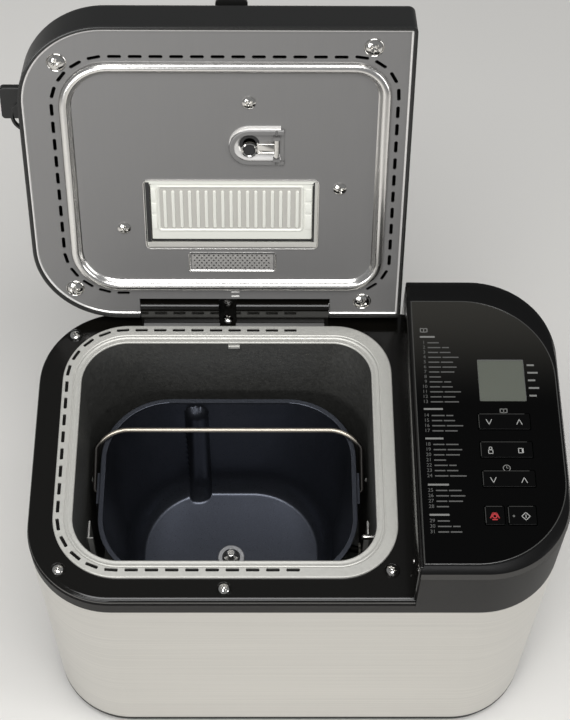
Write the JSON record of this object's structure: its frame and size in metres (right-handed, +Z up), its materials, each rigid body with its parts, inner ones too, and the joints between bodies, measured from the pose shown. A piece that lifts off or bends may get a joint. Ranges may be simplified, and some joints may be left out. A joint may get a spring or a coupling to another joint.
{
  "type": "bread machine",
  "caption": "Countertop bread machine with a hinged dispenser lid, slotted baking chamber, lift-out pan with bail, belt drive and a key panel.",
  "frame": {"origin": "on the floor under the middle of the body's plan outline", "axes": "+X to the right, +Y to the back and +Z up, as seen by the person who stands in front of the keys"},
  "size_m": [0.4285, 0.3759, 0.528],
  "materials": {
    "foot_rubber": "matt",
    "casing_plastic": "fine grain",
    "wrap_sheet": "brushed level, champagne tint",
    "inner_plastic": "moulded",
    "panel_gloss": "gloss",
    "display_film": "satin",
    "display_window": "clear",
    "circuit_board": "lacquered",
    "deck_gloss": "piano black",
    "bright_steel": "polished",
    "rim_sheet": "satin zinc",
    "liner_sheet": "dull zinc",
    "heater_sheath": "oxidised",
    "ceramic": "bisque",
    "cast_alloy": "as cast",
    "belt_rubber": "matt",
    "nonstick": "fluoropolymer sparkle",
    "lid_sheet": "satin",
    "pale_plastic": "moulded"
  },
  "bodies": {
    "housing": {"rubber_feet": "foot_rubber", "base_tray": "casing_plastic", "outer_wrap": "wrap_sheet", "cord_gland": "inner_plastic", "upper_casing": "casing_plastic", "panel_overlay": "panel_gloss", "lcd_module": "display_film", "lcd_window": "display_window", "control_board": "circuit_board", "tact_switches": "inner_plastic", "power_board": "circuit_board", "top_deck": "deck_gloss", "deck_screws": "bright_steel", "chamber_rim": "rim_sheet", "chamber_liner": "liner_sheet", "heating_element": "heater_sheath", "heater_clips": "liner_sheet", "heater_insulators": "ceramic", "temperature_sensor": "bright_steel", "pan_guides": "liner_sheet", "pan_seat": "cast_alloy", "chassis_plate": "liner_sheet", "drive_bearing": "cast_alloy", "drive_belt": "belt_rubber", "motor": "liner_sheet"},
    "drive_shaft": {"drive_shaft": "bright_steel", "drive_coupling": "cast_alloy", "large_pulley": "inner_plastic"},
    "motor_shaft": {"motor_shaft": "bright_steel", "motor_pulley": "cast_alloy"},
    "bread_pan": {"bread_pan": "nonstick", "pan_ears": "bright_steel", "pan_base_ring": "cast_alloy", "pan_hub": "nonstick"},
    "bail_handle": {"bail_handle": "bright_steel"},
    "pan_shaft": {"pan_shaft": "bright_steel", "pan_coupling": "cast_alloy"},
    "lid": {"lid_shell": "casing_plastic", "lid_plate": "lid_sheet", "lid_corner_screws": "bright_steel", "lid_inner_screws": "bright_steel", "hinge_pins": "bright_steel", "side_grip": "casing_plastic", "cover_pin": "bright_steel", "dispenser_tray": "pale_plastic", "flap_pin": "bright_steel", "yeast_bracket": "lid_sheet", "valve_pin": "bright_steel", "vent_grille": "lid_sheet", "nut_solenoid": "liner_sheet", "yeast_solenoid": "liner_sheet"},
    "dispenser_cover": {"dispenser_cover": "casing_plastic"},
    "nut_flap": {"nut_flap": "pale_plastic"},
    "yeast_valve": {"yeast_valve": "lid_sheet"},
    "select_key": {"select_key": "panel_gloss"},
    "option_key": {"option_key": "panel_gloss"},
    "timer_key": {"timer_key": "panel_gloss"},
    "stop_key": {"stop_key": "panel_gloss"},
    "start_key": {"start_key": "panel_gloss"}
  },
  "joints": [
    {"name": "lid_hinge", "type": "hinge", "parent": "housing", "child": "lid", "pos_m": [-0.053, 0.1274, 0.284], "axis": [-1, 0, 0], "range_deg": [-109.8, 0]},
    {"name": "cover_hinge", "type": "hinge", "parent": "lid", "child": "dispenser_cover", "pos_m": [-0.053, 0.17215, 0.31029], "axis": [-1, 0, 0], "range_deg": [0, 100]},
    {"name": "nut_flap_hinge", "type": "hinge", "parent": "lid", "child": "nut_flap", "pos_m": [-0.049, 0.16403, 0.39548], "axis": [-1, 0, 0], "range_deg": [0, 75]},
    {"name": "yeast_valve_hinge", "type": "hinge", "parent": "lid", "child": "yeast_valve", "pos_m": [-0.0145, 0.17058, 0.43287], "axis": [0, 0.3387, 0.9409], "range_deg": [0, 40]},
    {"name": "pan_lift", "type": "slide", "parent": "housing", "child": "bread_pan", "axis": [0, 0, 1], "range_m": [0, 0.25]},
    {"name": "bail_hinge", "type": "hinge", "parent": "bread_pan", "child": "bail_handle", "pos_m": [-0.053, 0.001, 0.1948], "axis": [1, 0, 0], "range_deg": [0, 148]},
    {"name": "pan_shaft_spin", "type": "hinge", "parent": "bread_pan", "child": "pan_shaft", "pos_m": [-0.053, 0.001, 0.062], "axis": [0, 0, 1], "continuous": true},
    {"name": "drive_spin", "type": "hinge", "parent": "housing", "child": "drive_shaft", "pos_m": [-0.053, 0.001, 0.032], "axis": [0, 0, 1], "continuous": true},
    {"name": "motor_spin", "type": "hinge", "parent": "housing", "child": "motor_shaft", "pos_m": [0.14, 0.001, 0.032], "axis": [0, 0, 1], "continuous": true},
    {"name": "select_rock", "type": "hinge", "parent": "housing", "child": "select_key", "pos_m": [0.1586, -0.002, 0.3128], "axis": [0, 1, 0], "range_deg": [-2.5, 2.5], "stiffness_Nm_per_rad": 0.6},
    {"name": "option_rock", "type": "hinge", "parent": "housing", "child": "option_key", "pos_m": [0.1586, -0.0261, 0.3128], "axis": [0, 1, 0], "range_deg": [-2.5, 2.5], "stiffness_Nm_per_rad": 0.6},
    {"name": "timer_rock", "type": "hinge", "parent": "housing", "child": "timer_key", "pos_m": [0.1586, -0.0506, 0.3128], "axis": [0, 1, 0], "range_deg": [-2.5, 2.5], "stiffness_Nm_per_rad": 0.6},
    {"name": "stop_press", "type": "slide", "parent": "housing", "child": "stop_key", "axis": [0, 0, 1], "range_m": [-0.001, 0], "stiffness_N_per_m": 500},
    {"name": "start_press", "type": "slide", "parent": "housing", "child": "start_key", "axis": [0, 0, 1], "range_m": [-0.001, 0], "stiffness_N_per_m": 500}
  ],
  "couplings": [
    {"joint": "pan_shaft_spin", "follows": "drive_spin", "ratio": 1},
    {"joint": "motor_spin", "follows": "drive_spin", "ratio": 5.6}
  ]
}
